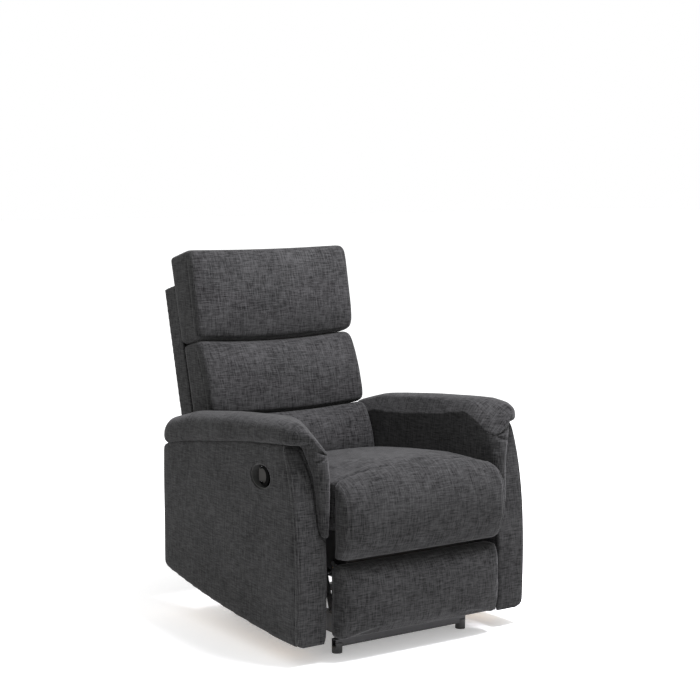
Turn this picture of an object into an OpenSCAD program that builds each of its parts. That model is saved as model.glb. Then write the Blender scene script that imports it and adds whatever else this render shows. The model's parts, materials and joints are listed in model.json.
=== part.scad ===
// Recliner armchair: steel base, two upholstered arms, a seat that swings forward on
// parallel links, a lazy-tongs footrest and a hinged backrest.
// Millimetres. X is across (the sitter's left is +X), the chair faces -Y, Z is up,
// and the floor is Z = 0 under the middle of the chair.

/* [Arms] */
// Half the width over the arms' outer panels
arm_outer = 365; // [350:1:380]
// Half the gap between the arms' inner panels
arm_inner = 279; // [279:1:285]
// How far the arm pad stands proud of the outer panel
pad_overhang = 8; // [4:1:10]
// Height of the pad's crest near the front of the arm
pad_crest = 621; // [610:1:630]

/* [Seat] */
// Half the width of the seat, the footrest pad and the back pillows
seat_half = 257; // [250:1:259]
// Height of the seat cushion at its front seam
seat_front_z = 478; // [465:1:485]
// Height of the seat cushion at the backrest
seat_rear_z = 430; // [420:1:440]
// How far the seat travels each way from the middle of its swing
swing_tilt = 20; // [14:1:22]

/* [Backrest] */
// Backward lean of the backrest when it is upright
back_lean = 15; // [12:1:16]
// Length of the backrest above its hinge
back_length = 705; // [690:1:710]

/* [Footrest] */
// Height of the footrest pad's top edge when it is stowed
footrest_top = 250; // [246:1:252]
// Height of the footrest pad's bottom edge when it is stowed
footrest_bottom = 57; // [54:1:64]
// Angle through which the footrest turns as it opens
footrest_turn = 82; // [70:1:84]

/* [Steel] */
// Thickness of the linkage bars and side plates
bar_t = 3; // [3:0.5:4]
// Gap between neighbouring layers of bars
bar_gap = 2.5; // [2.5:0.1:3]
// Width of a linkage bar
bar_w = 20; // [18:1:20]
// Radius of the rivets that the bars turn on
rivet_r = 4; // [3.5:0.1:4.5]
// Side of the seat rails and back posts
tube = 25; // [20:1:26]

/* [Hidden] */
$fn = 48;
fit = 0.05;                      // radial clearance of a rivet in its bore
pad_out = arm_outer + pad_overhang;
pad_in = arm_inner - 15;
panel_t = 14;                    // outer panel and front facing
liner_t = 6;                     // inner panel
frame_in = arm_inner + liner_t;
frame_out = arm_outer - panel_t;
board_t = 12;                    // plywood side of the arm frame
glue = 0.05;                     // glue line between two pieces of timber
arm_rear = 293;
rear_wall_t = 8;
foot_h = 17;                     // floor to underside of the cross tubes
foot_r = 14;
base_tube = 20;                  // side of the square cross tubes
foot_x = 203;
cross_y = [-337, 150];           // front and rear cross tubes
rail_h = 50;
rail_z = foot_h + base_tube;
rail_in = 160;
rail_out = 184;
cross_out = foot_x + base_tube / 2;

// Layers of bars, counted outwards from the base plate
function layer(i) = rail_out + i * (bar_t + bar_gap);
base_layer = 0;
swing_layer = 1;
seat_layer = 2;
a_layer = 3;
b_layer = 4;
control_layer = 5;

// Seat swing links: pivots as [y, z]
swing_l = 110;
swing_pivots = [[-120, 130], [110, 130]];
function swing_top(p) = p + swing_l * [sin(swing_tilt), cos(swing_tilt)];

// Footrest linkage: every bar is parallel to direction A or to direction B
a_down = 85;                     // stowed slope of the A bars, forward and down
b_up = 81;                       // stowed slope of the B bars, forward and up
b_turn = 44;                     // turn of the B bars as the footrest opens
a_half = 92;
b_front = 90;
b_rear = 25;
b_end = 88;
a_end = 85;
function dir_a(turn) = [-cos(a_down - turn), -sin(a_down - turn)];
function dir_b(turn) = [-cos(b_up - turn), sin(b_up - turn)];
piv_o = [-320, 232];             // rear pivot of the linkage on the seat plate
piv_c1 = piv_o + a_half * dir_a(0);
piv_d = piv_c1 + a_half * dir_a(0);
piv_u = piv_c1 + b_front * dir_b(0);
piv_c2 = piv_u + a_half * dir_a(0);
piv_u2 = piv_c2 + b_end * dir_b(0);
piv_d2 = piv_c2 + a_end * dir_a(0);
piv_f = piv_u2 + a_end * dir_a(0);
piv_r = piv_c1 - b_rear * dir_b(0);
// The control link's pivot is as far from its eye stowed as it is open
eye_open = piv_o + a_half * dir_a(footrest_turn) - b_rear * dir_b(b_turn);
eye_mid = (piv_r + eye_open) / 2;
eye_step = eye_open - piv_r;
control_offset = 75;
piv_q = eye_mid + control_offset * [eye_step.y, -eye_step.x] / norm(eye_step);

// Seat frame
rail_seat_z = 303;
front_rail_y = -395;
rear_rail_y = 105;
cushion_z = rail_seat_z + tube + 6;
seat_front_y = -400;
seat_rear_y = 130;
roll_front_y = -466;

// Backrest, in its own frame: v to the rear, w up along the back, from the hinge
hinge = [165, 330];
function back_yz(v, w) = hinge + v * [cos(back_lean), -sin(back_lean)]
    + w * [sin(back_lean), cos(back_lean)];
pillow_rear = 85;
shell_rear = 147;
shell_front = 87;
shell_top = 627;
post_v = [92, 136.9];
post_w = [-30, 612];

// Release latch in the right arm
latch = [-236, 466];
latch_size = [52, 36];
lever_axis_x = 350;
lever_axis_y = latch.x + 26;
lever_pin_r = 2;

fabric = "#45454a";
fabric_dark = "#3b3b3f";
steel = "#1c1c1e";
wood = "#b9935f";
plastic = "#161617";
zinc = "#a8abb0";

// ---------------------------------------------------------------- helpers

// Extrudes a [y, z] outline along X
module along_x(x0, x1) {
    translate([x0, 0, 0]) rotate([90, 0, 90]) linear_extrude(x1 - x0) children();
}

// Draws its child on the sitter's left (+1) or right (-1)
module side(s) {
    if (s > 0) children();
    else mirror([1, 0, 0]) children();
}

module both_sides() {
    for (s = [-1, 1]) side(s) children();
}

// Outline of a bar with round ends, from its first pivot to its last
module bar_outline(points, w = bar_w) {
    a = points[0];
    b = points[len(points) - 1];
    turn = atan2(b.y - a.y, b.x - a.x);
    polygon([for (end = [[b, turn], [a, turn + 180]]) for (t = [-90:15:90])
        end[0] + w / 2 * [cos(end[1] + t), sin(end[1] + t)]]);
}

// A flat bar in one layer, bored at each pivot
module link_bar(points, i, w = bar_w) {
    along_x(layer(i), layer(i) + bar_t) difference() {
        bar_outline(points, w);
        for (p = points) translate(p) circle(r = rivet_r + fit);
    }
}

module disc(p, x0, x1, r) {
    translate([x0, p.x, p.y]) rotate([0, 90, 0]) cylinder(r = r, h = x1 - x0);
}

// A shouldered rivet from layer i, which holds it, to layer j, which turns on it
module rivet(p, i, j) {
    head = 1.5;
    play = 0.2;
    lo = min(i, j);
    hi = max(i, j);
    shoulder_lo = layer(lo) + bar_t + (i == lo ? 0 : play);
    shoulder_hi = layer(hi) - (i == lo ? play : 0);
    head_lo = i == lo ? layer(lo) : layer(lo) - play;
    head_hi = i == lo ? layer(hi) + bar_t + play : layer(hi) + bar_t;
    disc(p, head_lo - head, head_hi + head, rivet_r);
    disc(p, shoulder_lo, shoulder_hi, rivet_r + 2.5);
    disc(p, head_lo - head, head_lo, rivet_r + 3);
    disc(p, head_hi, head_hi + head, rivet_r + 3);
}

function bezier(p, q, r, s, n = 16) = [for (i = [0:n]) let (t = i / n, u = 1 - t)
    u * u * u * p + 3 * u * u * t * q + 3 * u * t * t * r + t * t * t * s];

// A round wire or cable of 8 sides that follows a list of points
module wire(path, r, sides = 8) {
    n = len(path);
    function heading(i) = let (d = path[min(i + 1, n - 1)] - path[max(i - 1, 0)]) d / norm(d);
    function across(t) = let (c = cross(abs(t.z) < 0.9 ? [0, 0, 1] : [1, 0, 0], t)) c / norm(c);
    rings = [for (i = [0:n - 1]) let (t = heading(i), u = across(t), v = cross(t, u))
        for (k = [0:sides - 1]) path[i] + r * (cos(360 * k / sides) * u + sin(360 * k / sides) * v)];
    walls = [for (i = [0:n - 2]) for (k = [0:sides - 1]) let (m = (k + 1) % sides)
        each [[i * sides + m, i * sides + k, (i + 1) * sides + k],
              [i * sides + m, (i + 1) * sides + k, (i + 1) * sides + m]]];
    start = [for (k = [0:sides - 1]) k];
    finish = [for (k = [0:sides - 1]) n * sides - 1 - k];
    polyhedron(rings, concat(walls, [start], [finish]), convexity = 6);
}

// ---------------------------------------------------------------- base

module cross_tubes() {
    wall = 2;
    color(steel) for (y = cross_y) difference() {
        translate([-cross_out, y - base_tube / 2, foot_h]) cube([2 * cross_out, base_tube, base_tube]);
        translate([-cross_out - 1, y - base_tube / 2 + wall, foot_h + wall])
            cube([2 * cross_out + 2, base_tube - 2 * wall, base_tube - 2 * wall]);
    }
}

module glide_feet() {
    color(plastic) for (x = [-foot_x, foot_x]) for (y = cross_y) difference() {
        translate([x, y, 0]) cylinder(r = foot_r, h = foot_h + 10);
        translate([x - foot_r - 1, y - base_tube / 2, foot_h]) cube([2 * foot_r + 2, base_tube, base_tube]);
    }
}

module base_rail(s) {
    color(steel) side(s)
        translate([rail_in, cross_y[0] - base_tube / 2, rail_z])
            cube([rail_out - rail_in, cross_y[1] - cross_y[0] + base_tube, rail_h]);
}

arm_bolts = [[-175, 97], [165, 136]];
arm_bolt_r = 4;

module base_plate(s) {
    foot = rail_z + 3;
    top = 150;
    waist = 98;
    outline = [[-200, foot], [182, foot], [182, top], [92, top], [60, waist], [-72, waist],
        [-98, top], [-142, top], [-166, 114], [-200, 114]];
    color(steel) side(s) along_x(layer(base_layer), layer(base_layer) + bar_t) difference() {
        polygon(outline);
        for (p = swing_pivots) translate(p) circle(r = rivet_r + fit);
        for (p = arm_bolts) translate(p) circle(r = arm_bolt_r + fit);
    }
}

module base_rivets() {
    color(zinc) both_sides() for (p = swing_pivots) rivet(p, base_layer, swing_layer);
}

// Bolts with spacer sleeves between the base plates and the arm frames
module arm_fasteners() {
    plate_out = layer(base_layer) + bar_t;
    color(zinc) both_sides() for (p = arm_bolts) {
        disc(p, layer(base_layer) - 5, layer(base_layer), 8);
        disc(p, layer(base_layer) - 5, frame_in + board_t + 20, arm_bolt_r);
        difference() {
            disc(p, plate_out, arm_inner, 8);
            disc(p, plate_out - 1, arm_inner + 1, arm_bolt_r + fit);
        }
    }
}

// ---------------------------------------------------------------- arms

// The front edge bows forward, then leans back under the pad
function arm_front(back) = [for (p = bezier([-402, 49], [-410, 230], [-412, 420], [-343, 562]))
    p + [back, 0]];
arm_top = [[-126, 544], [257, 491]];
arm_underside = bezier([arm_rear - 15, 124], [150, 98], [-60, 62], [-402, 49], 10);

// Whole side view of one arm, from a line "back" behind its front edge
module arm_outline(back = 0, rear = arm_rear) {
    intersection() {
        polygon(concat(arm_front(0), arm_top, [[arm_rear, 474], [arm_rear, 138]], arm_underside));
        polygon(concat(arm_front(back), [[arm_rear, 600]], [[rear, 600], [rear, 0], [-402 + back, 0]]));
    }
}

module latch_outline(grow = 0) {
    rim = 6;
    translate(latch) polygon([for (a = [0:7.5:352.5])
        [(latch_size.x - rim + grow) * cos(a), (latch_size.y - rim + grow) * sin(a)]]);
}

module arm_panel(s) {
    color(fabric) side(s) {
        along_x(frame_out, arm_outer) difference() {
            arm_outline(panel_t);
            if (s < 0) latch_outline(3);
        }
        along_x(frame_in, frame_out) difference() {
            arm_outline(panel_t);
            translate([-500, 0]) square([500 + arm_rear - rear_wall_t, 700]);
        }
    }
}

module arm_facing(s) {
    front = arm_front(0);
    back = arm_front(panel_t);
    last = len(back) - 1;
    color(fabric) side(s) along_x(arm_inner, arm_outer)
        polygon(concat(front, [0.84 * back[last] + 0.16 * back[last - 1]],
            [for (i = [1:last]) back[last - i]]));
}

module arm_liner(s) {
    color(fabric) side(s) along_x(arm_inner, frame_in) difference() {
        arm_outline(panel_t);
        for (p = arm_bolts) translate(p) circle(r = arm_bolt_r + fit);
        if (s < 0) translate(cable_hole) circle(r = 7);
    }
}

// Posts, rails and the plywood side, each a separate piece of timber with a glue line between
module arm_frame(s) {
    post_y = [-330, -290];
    rear_y = [245, arm_rear - rear_wall_t];
    timber = 40;
    y0 = post_y[1] + glue;
    y1 = rear_y[0] - glue;
    rail_low = [[y0, 60], [y1, 124]];
    rail_high = [[y0, 512], [y1, 447]];
    up = [0, timber + glue];
    color(wood) side(s) difference() {
        union() {
            along_x(frame_in, frame_out)
                translate([post_y[0], 58]) square([post_y[1] - post_y[0], 496]);
            along_x(frame_in, frame_out)
                translate([rear_y[0], 128]) square([rear_y[1] - rear_y[0], 342]);
            for (r = [rail_low, rail_high]) along_x(frame_in, frame_out)
                polygon([r[0], r[1], r[1] + [0, timber], r[0] + [0, timber]]);
            along_x(frame_in, frame_in + board_t)
                polygon([rail_low[0] + up, rail_low[1] + up, rail_high[1] - [0, glue], rail_high[0] - [0, glue]]);
        }
        for (p = arm_bolts) disc(p, frame_in - 1, frame_in + board_t + 20.5, arm_bolt_r + fit);
        if (s < 0) disc(cable_hole, frame_in - 1, frame_in + board_t + 1, 7);
    }
}

// One cross-section of the pad: y, underside z, crest z, inner x, outer x
module pad_section(y, low, crest, x0, x1) {
    r = 14;
    slab = 1;
    translate([0, y + slab / 2, 0]) rotate([90, 0, 0]) linear_extrude(slab) hull() {
        for (x = [x0 + r, x1 - r]) translate([x, low + r]) circle(r = r, $fn = 24);
        translate([(x0 + x1) / 2, crest - 30]) resize([(x1 - x0) * 0.9, 60]) circle(r = 30, $fn = 32);
    }
}

pad_stations = [[286, 488, 536, 274, 364], [262, 482, 556, pad_in, pad_out],
    [160, 496, 583, pad_in, pad_out], [-15, 520, 602, pad_in, pad_out],
    [-180, 542, 615, pad_in, pad_out], [-300, 552, pad_crest, pad_in, pad_out],
    [-370, 558, pad_crest - 7, pad_in, pad_out - 4], [-400, 568, pad_crest - 24, 276, 360]];
// The pad's tongue wraps the arm's inner front corner: x, y, z, radius
tongue = [[296, -372, 560, 30], [289, -380, 520, 26], [285, -386, 480, 22], [284, -392, 430, 20],
    [288, -396, 390, 17], [289, -397, 355, 14], [284, -398, 333, 13]];

// The pad runs on down the inside of the arm, below the seat cushion's top
inner_leaf = [[-392, 345], [-384, 325], [-370, 318], [262, 318], [278, 334], [278, 500], [160, 520], [-15, 545],
    [-180, 565], [-340, 580], [-384, 560], [-392, 500]];

module arm_pad(s) {
    clip = arm_inner - 0.05;
    color(fabric) side(s) difference() {
        intersection() {
            union() {
                for (i = [1:len(pad_stations) - 1]) let (a = pad_stations[i - 1], b = pad_stations[i])
                    hull() {
                        pad_section(a[0], a[1], a[2], a[3], a[4]);
                        pad_section(b[0], b[1], b[2], b[3], b[4]);
                    }
                for (i = [1:len(tongue) - 1]) hull() for (t = [tongue[i - 1], tongue[i]])
                    translate([t[0], t[1], t[2]]) sphere(r = t[3], $fn = 20);
                along_x(pad_in, arm_inner + 1) polygon(inner_leaf);
            }
            translate([pad_in, -500, 0]) cube([200, 1000, 700]);
        }
        along_x(clip, arm_outer + 0.05) arm_outline();
    }
}

// ---------------------------------------------------------------- release latch

cup_floor = arm_outer - 24;
cable_hole = [-60, 152];

module latch_bezel() {
    wall = 2.5;
    ear_z = [latch.y - 19, latch.y + 15];
    color(plastic) side(-1) {
        along_x(arm_outer, arm_outer + 3) difference() {
            latch_outline(6);
            latch_outline(0);
        }
        along_x(cup_floor, arm_outer) difference() {
            latch_outline(wall);
            latch_outline(0);
        }
        difference() {
            along_x(cup_floor, cup_floor + wall) latch_outline(0.1);
            disc([latch.x + 20, latch.y], cup_floor - 1, cup_floor + wall + 1, 3);
        }
        for (z = ear_z) difference() {
            translate([cup_floor + wall - 0.1, lever_axis_y - 5, z]) cube([9.6, 10, 4]);
            translate([lever_axis_x, lever_axis_y, z - 1]) cylinder(r = lever_pin_r + fit, h = 6);
        }
    }
}

module lever_pin() {
    color(zinc) side(-1) translate([lever_axis_x, lever_axis_y, latch.y - 20])
        cylinder(r = lever_pin_r, h = 40);
}

module lever_spring() {
    turns = 6;
    coil_r = 3.4;
    wire_r = 0.7;
    coil_h = 12;
    path = [for (i = [0:turns * 12]) let (a = 30 * i) [coil_r * cos(a), coil_r * sin(a),
        coil_h * i / (turns * 12)]];
    color(zinc) side(-1) translate([lever_axis_x, lever_axis_y, latch.y - coil_h / 2])
        wire(path, wire_r, 6);
}

// A crescent finger grip on a plate whose two eyes turn on the lever pin
module release_paddle() {
    grip = [358, 365];
    grip_at = latch - [6.5, 0];
    plate = [355, grip[0]];
    eye_z = [latch.y - 14, latch.y + 9];
    eye_h = 5;
    color(plastic) side(-1) difference() {
        union() {
            along_x(grip[0], grip[1]) translate(grip_at) difference() {
                circle(r = 25.5);
                translate([8, 0]) circle(r = 20);
                translate([18, -20]) square([20, 40]);
            }
            along_x(plate[0], plate[1]) {
                translate(grip_at) circle(r = 24.5);
                translate([latch.x, latch.y - 17]) square([lever_axis_y + 2 - latch.x, 34]);
            }
            for (z = eye_z) translate([lever_axis_x, lever_axis_y, z]) cylinder(r = 5.2, h = eye_h);
        }
        translate([lever_axis_x, lever_axis_y, latch.y - 20]) cylinder(r = lever_pin_r + fit, h = 40);
    }
}

// Release cable from the latch, down inside the arm to a clamp on the base plate
cable_r = 2.5;
clamp_at = [layer(base_layer) + bar_t, -20, 84];
module release_cable() {
    end_x = -clamp_at.x - 18;
    start_y = latch.x + 20;
    path = concat(
        bezier([-341, start_y, latch.y], [-315, start_y, latch.y], [-318, start_y, 440], [-318, -192, 380], 10),
        bezier([-318, -172, 330], [-318, -110, 220], [-320, -60, 152], [-290, -60, 152], 12),
        bezier([-280, -60, 152], [end_x - 19, -60, 152], [end_x - 8, -20, 100], [end_x, -20, 91], 10));
    color(plastic) wire(path, cable_r);
}

module cable_clamp() {
    color(zinc) side(-1) difference() {
        translate([clamp_at.x, clamp_at.y - 10, clamp_at.z - 8]) cube([24, 20, 14]);
        translate([clamp_at.x + 12, clamp_at.y, clamp_at.z - 9]) cylinder(r = 2, h = 16);
    }
}

// ---------------------------------------------------------------- seat swing

module swing_links(p) {
    color(steel) both_sides() link_bar([p, swing_top(p)], swing_layer, bar_w + 4);
}

module swing_rivets(p) {
    color(zinc) both_sides() rivet(swing_top(p), swing_layer, seat_layer);
}

// ---------------------------------------------------------------- seat

module seat_plate(s) {
    top = rail_seat_z + tube;
    outline = [[-380, top], [-380, 250], [-340, 213], [-308, 193], [-284, 193], [-240, 216], [150, 216],
        [164, 240], [164, 300], [183, 320], [183, 349], [147, 349], [138, top]];
    color(steel) side(s) along_x(layer(seat_layer), layer(seat_layer) + bar_t) difference() {
        polygon(outline);
        for (p = [swing_top(swing_pivots[0]), swing_top(swing_pivots[1]), piv_o, piv_q, hinge])
            translate(p) circle(r = rivet_r + fit);
    }
}

module seat_rail(y) {
    color(steel) translate([-layer(seat_layer), y, rail_seat_z]) cube([2 * layer(seat_layer), tube, tube]);
}

// The front rail has a flange that closes the view under the seat
module seat_front_rail() {
    flange_t = 3;
    flange_z = 242;
    seat_rail(front_rail_y);
    color(steel) translate([-layer(seat_layer), front_rail_y + 19, flange_z])
        cube([2 * layer(seat_layer), flange_t, rail_seat_z - flange_z + 1]);
}

module seat_rivets() {
    color(zinc) both_sides() {
        rivet(piv_o, seat_layer, a_layer);
        rivet(hinge, seat_layer, a_layer);
        rivet(piv_q, seat_layer, control_layer);
    }
}

// Sideways swing of a zigzag spring, which runs straight into its clip at each end
function wave(t, loops) = 22 * sin(360 * loops * t) * min(1, 12 * t, 12 * (1 - t));

spring_x = [-150, -50, 50, 150];
spring_r = 1.8;
spring_z = rail_seat_z + tube + spring_r;

module seat_springs() {
    loops = 7;
    steps = 56;
    run = rear_rail_y + tube / 2 - front_rail_y - tube / 2;
    color(zinc) for (x = spring_x)
        wire([for (i = [0:steps]) let (t = i / steps)
            [x + wave(t, loops), front_rail_y + tube / 2 + run * t, spring_z]], spring_r, 6);
}

module spring_clips() {
    size = [14, 10, 5];
    channel = [8, 12, 3.9];
    color(steel) for (x = spring_x) for (y = [front_rail_y, rear_rail_y])
        translate([x, y + tube / 2, rail_seat_z + tube]) difference() {
            translate([-size.x / 2, -size.y / 2, 0]) cube(size);
            translate([-channel.x / 2, -channel.y / 2, -0.01]) cube(channel);
        }
}

module seat_cushion() {
    edge = 12;
    color(fabric) along_x(-seat_half, seat_half) polygon([[seat_front_y, cushion_z],
        [seat_rear_y, cushion_z], [seat_rear_y, seat_rear_z - edge], [seat_rear_y - edge, seat_rear_z],
        [-147, (seat_front_z + seat_rear_z) / 2 + 2], [seat_front_y, seat_front_z]]);
}

module seat_front_roll() {
    color(fabric) along_x(-seat_half, seat_half) polygon(concat(
        [[seat_front_y, 262], [-438, 262]],
        bezier([-444, 270], [-478, 350], [-478, 440], [-440, 468], 12),
        [[seat_front_y, seat_front_z]]));
}

// ---------------------------------------------------------------- footrest linkage

module long_links() {
    color(steel) both_sides() link_bar([piv_o, piv_c1, piv_d], a_layer);
}

module long_link_rivets() {
    color(zinc) both_sides() for (p = [piv_c1, piv_d]) rivet(p, a_layer, b_layer);
}

module cross_links() {
    color(steel) both_sides() link_bar([piv_r, piv_c1, piv_u], b_layer);
}

module cross_link_rivets() {
    color(zinc) both_sides() rivet(piv_u, b_layer, a_layer);
}

module lift_links() {
    color(steel) both_sides() link_bar([piv_d, piv_c2, piv_u2], b_layer);
}

module lift_link_rivets() {
    color(zinc) both_sides() for (p = [piv_c2, piv_u2]) rivet(p, b_layer, a_layer);
}

module follower_links() {
    color(steel) both_sides() link_bar([piv_u, piv_c2, piv_d2], a_layer);
}

module follower_rivets() {
    color(zinc) both_sides() rivet(piv_d2, a_layer, b_layer);
}

module end_links() {
    color(steel) both_sides() link_bar([piv_d2, piv_f], b_layer);
}

module end_link_rivets() {
    color(zinc) both_sides() rivet(piv_f, b_layer, a_layer);
}

module control_links() {
    color(steel) both_sides() link_bar([piv_q, piv_r], control_layer);
}

// ---------------------------------------------------------------- footrest

board_y = -396;
footrest_board_t = 12;

module footrest_bracket(s) {
    flange_y = board_y + footrest_board_t;
    flange_t = 3;
    color(steel) side(s) {
        along_x(layer(a_layer), layer(a_layer) + bar_t) difference() {
            union() {
                bar_outline([piv_u2, piv_f]);
                polygon([[flange_y, 236], piv_u2, piv_f, [flange_y, 140]]);
            }
            for (p = [piv_u2, piv_f]) translate(p) circle(r = rivet_r + fit);
        }
        translate([layer(a_layer) - 28, flange_y, 140]) cube([28 + bar_t, flange_t, 96]);
    }
}

module footrest_board() {
    margin = 8;
    color(wood) translate([-seat_half + margin, board_y, footrest_bottom + margin])
        cube([2 * (seat_half - margin), footrest_board_t, footrest_top - footrest_bottom - 2 * margin]);
}

module footrest_pad() {
    color(fabric) along_x(-seat_half, seat_half) polygon(concat(
        [[board_y, footrest_top]],
        bezier([-432, footrest_top], [-451, 215], [-450, 120], [-428, footrest_bottom], 10),
        [[board_y, footrest_bottom]]));
}

// ---------------------------------------------------------------- backrest

// A box in the backrest's own frame
module back_box(x0, x1, v0, v1, w0, w1) {
    along_x(x0, x1) polygon([back_yz(v0, w0), back_yz(v1, w0), back_yz(v1, w1), back_yz(v0, w1)]);
}

module back_bracket(s) {
    color(steel) side(s) along_x(layer(a_layer), layer(a_layer) + bar_t) difference() {
        union() {
            translate(hinge) circle(r = 16);
            polygon([back_yz(0, -16), back_yz(post_v[1], -16), back_yz(post_v[1], 110),
                back_yz(post_v[0], 110), back_yz(post_v[0], 64), back_yz(0, 16)]);
        }
        translate(hinge) circle(r = rivet_r + fit);
    }
}

module back_frame() {
    post_x = layer(a_layer) - tube;
    color(wood) {
        both_sides() back_box(post_x, post_x + tube, post_v[0], post_v[1], post_w[0], post_w[1]);
        for (w = [post_w[0], 290, post_w[1] - 45])
            back_box(-post_x + glue, post_x - glue, post_v[0], post_v[1], w, w + 45);
    }
}

module back_springs() {
    loops = 4;
    steps = 36;
    wire_r = 1.8;
    runs = [[post_w[0] + 22, 312], [313, post_w[1] - 22]];
    v = post_v[0] - wire_r;
    color(zinc) for (x = [-110, 0, 110]) for (r = runs)
        wire([for (i = [0:steps]) let (t = i / steps, p = back_yz(v, r[0] + (r[1] - r[0]) * t))
            [x + wave(t, loops), p.x, p.y]], wire_r, 6);
}

module back_shell() {
    wall = 10;
    lap = 1;
    foot_w = -60;
    skirt_w = 20;
    hood = [[shell_rear, foot_w], [shell_rear, shell_top], [shell_front, shell_top],
        [shell_front, shell_top - wall], [shell_rear - wall, shell_top - wall], [shell_rear - wall, foot_w]];
    color(fabric_dark) {
        along_x(-seat_half, seat_half) polygon([for (p = hood) back_yz(p.x, p.y)]);
        both_sides() back_box(seat_half - wall, seat_half, shell_front, shell_rear - wall + lap,
            skirt_w, shell_top - wall + lap);
    }
}

// Side view of a pillow from w0 to w1. Its front face starts at v = low, bows forward
// by about "bulge" and ends at v = high.
module pillow(w0, w1, low, high, bulge) {
    outline = concat(
        [[pillow_rear, w0]],
        bezier([low, w0], [low - bulge, w0 + (w1 - w0) * 0.25],
            [high - bulge, w1 - (w1 - w0) * 0.25], [high, w1], 12),
        [[pillow_rear, w1]]);
    color(fabric) along_x(-seat_half, seat_half) polygon([for (p = outline) back_yz(p.x, p.y)]);
}

module headrest() {
    pillow(452, back_length, -4, -24, 32);
}

module middle_pillow() {
    pillow(232, 451.5, -30, -4, 18);
}

module lumbar_pillow() {
    pillow(70, 231.5, -42, -30, 16);
}

// ---------------------------------------------------------------- assembly

cross_tubes();
glide_feet();
base_rail(1);  // base_rail_left
base_rail(-1);  // base_rail_right
base_plate(1);  // base_plate_left
base_plate(-1);  // base_plate_right
base_rivets();
arm_fasteners();
arm_frame(1);  // arm_frame_left
arm_frame(-1);  // arm_frame_right
arm_panel(1);  // arm_panel_left
arm_panel(-1);  // arm_panel_right
arm_facing(1);  // arm_facing_left
arm_facing(-1);  // arm_facing_right
arm_liner(1);  // arm_liner_left
arm_liner(-1);  // arm_liner_right
arm_pad(1);  // arm_pad_left
arm_pad(-1);  // arm_pad_right
latch_bezel();
lever_pin();
lever_spring();
release_cable();
cable_clamp();
release_paddle();
swing_links(swing_pivots[0]);  // front_swing_links
swing_rivets(swing_pivots[0]);  // front_swing_rivets
swing_links(swing_pivots[1]);  // rear_swing_links
swing_rivets(swing_pivots[1]);  // rear_swing_rivets
seat_plate(1);  // seat_plate_left
seat_plate(-1);  // seat_plate_right
seat_front_rail();
seat_rail(rear_rail_y);  // seat_rear_rail
seat_rivets();
seat_springs();
spring_clips();
seat_cushion();
seat_front_roll();
long_links();
long_link_rivets();
cross_links();
cross_link_rivets();
lift_links();
lift_link_rivets();
follower_links();
follower_rivets();
end_links();
end_link_rivets();
control_links();
footrest_bracket(1);  // footrest_bracket_left
footrest_bracket(-1);  // footrest_bracket_right
footrest_board();
footrest_pad();
back_bracket(1);  // back_bracket_left
back_bracket(-1);  // back_bracket_right
back_frame();
back_springs();
back_shell();
headrest();
middle_pillow();
lumbar_pillow();
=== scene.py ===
"""Recliner armchair: upholstery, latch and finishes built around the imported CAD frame.

Everything is in metres in the frame's own axes: +X to the sitter's left, +Y to the rear,
+Z up, with the floor at Z = 0. Sizes come from the CAD nodes' boxes and a few named values.
"""
import json
import math

import bmesh
import bpy
import numpy as np
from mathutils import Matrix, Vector


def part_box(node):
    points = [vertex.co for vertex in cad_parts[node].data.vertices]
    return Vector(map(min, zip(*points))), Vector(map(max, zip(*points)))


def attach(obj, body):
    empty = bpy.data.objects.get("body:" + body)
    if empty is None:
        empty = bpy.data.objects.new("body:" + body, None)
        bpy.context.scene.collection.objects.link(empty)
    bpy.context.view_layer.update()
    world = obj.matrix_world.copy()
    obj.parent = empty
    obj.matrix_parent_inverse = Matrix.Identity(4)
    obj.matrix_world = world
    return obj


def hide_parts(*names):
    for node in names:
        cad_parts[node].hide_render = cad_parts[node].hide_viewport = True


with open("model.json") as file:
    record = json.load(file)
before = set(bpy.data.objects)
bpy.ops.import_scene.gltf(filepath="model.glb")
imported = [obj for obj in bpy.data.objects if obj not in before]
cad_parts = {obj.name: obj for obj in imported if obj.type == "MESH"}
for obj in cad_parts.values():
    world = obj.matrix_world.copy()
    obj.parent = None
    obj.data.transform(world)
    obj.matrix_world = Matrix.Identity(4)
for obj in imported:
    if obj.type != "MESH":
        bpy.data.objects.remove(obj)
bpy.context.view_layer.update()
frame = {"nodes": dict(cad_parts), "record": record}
scene = bpy.context.scene

MM = 0.001
REMESH_SOFT = 6 * MM
REMESH_PANEL = 7 * MM
REMESH_FINE = 5 * MM
CLOTH_FRAMES = 20
CLOTH_STIFFNESS = 12.0


# ------------------------------------------------------------------ camera and light

CAMERA_AT = (-2.5615, -3.828, 1.262)
CAMERA_AZIMUTH = -34.5
CAMERA_PITCH = 6.4
FOCAL_LENGTH = 85.74
KEY_AT = (0.35, -0.80, 2.35)
KEY_SIZE = 0.9
KEY_POWER = 136
KEY_COLOUR = (0.95, 0.93, 1.0)
FLOOR_HALF = 30


def look_along(azimuth, pitch):
    a = math.radians(azimuth)
    e = math.radians(pitch)
    return Vector((-math.sin(a) * math.cos(e), math.cos(a) * math.cos(e), -math.sin(e)))


def add_camera():
    data = bpy.data.cameras.new("camera")
    data.lens = FOCAL_LENGTH
    data.sensor_width = 36
    data.clip_end = 50
    camera = bpy.data.objects.new("camera", data)
    scene.collection.objects.link(camera)
    camera.location = CAMERA_AT
    camera.rotation_euler = look_along(CAMERA_AZIMUTH, CAMERA_PITCH).to_track_quat("-Z", "Y").to_euler()
    scene.camera = camera


def area_light(name, location, target, size, power, colour):
    data = bpy.data.lights.new(name, "AREA")
    data.shape = "DISK"
    data.size = size
    data.energy = power
    data.color = colour
    light = bpy.data.objects.new(name, data)
    scene.collection.objects.link(light)
    light.location = location
    aim = Vector(target) - Vector(location)
    light.rotation_euler = aim.to_track_quat("-Z", "Y").to_euler()


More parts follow.
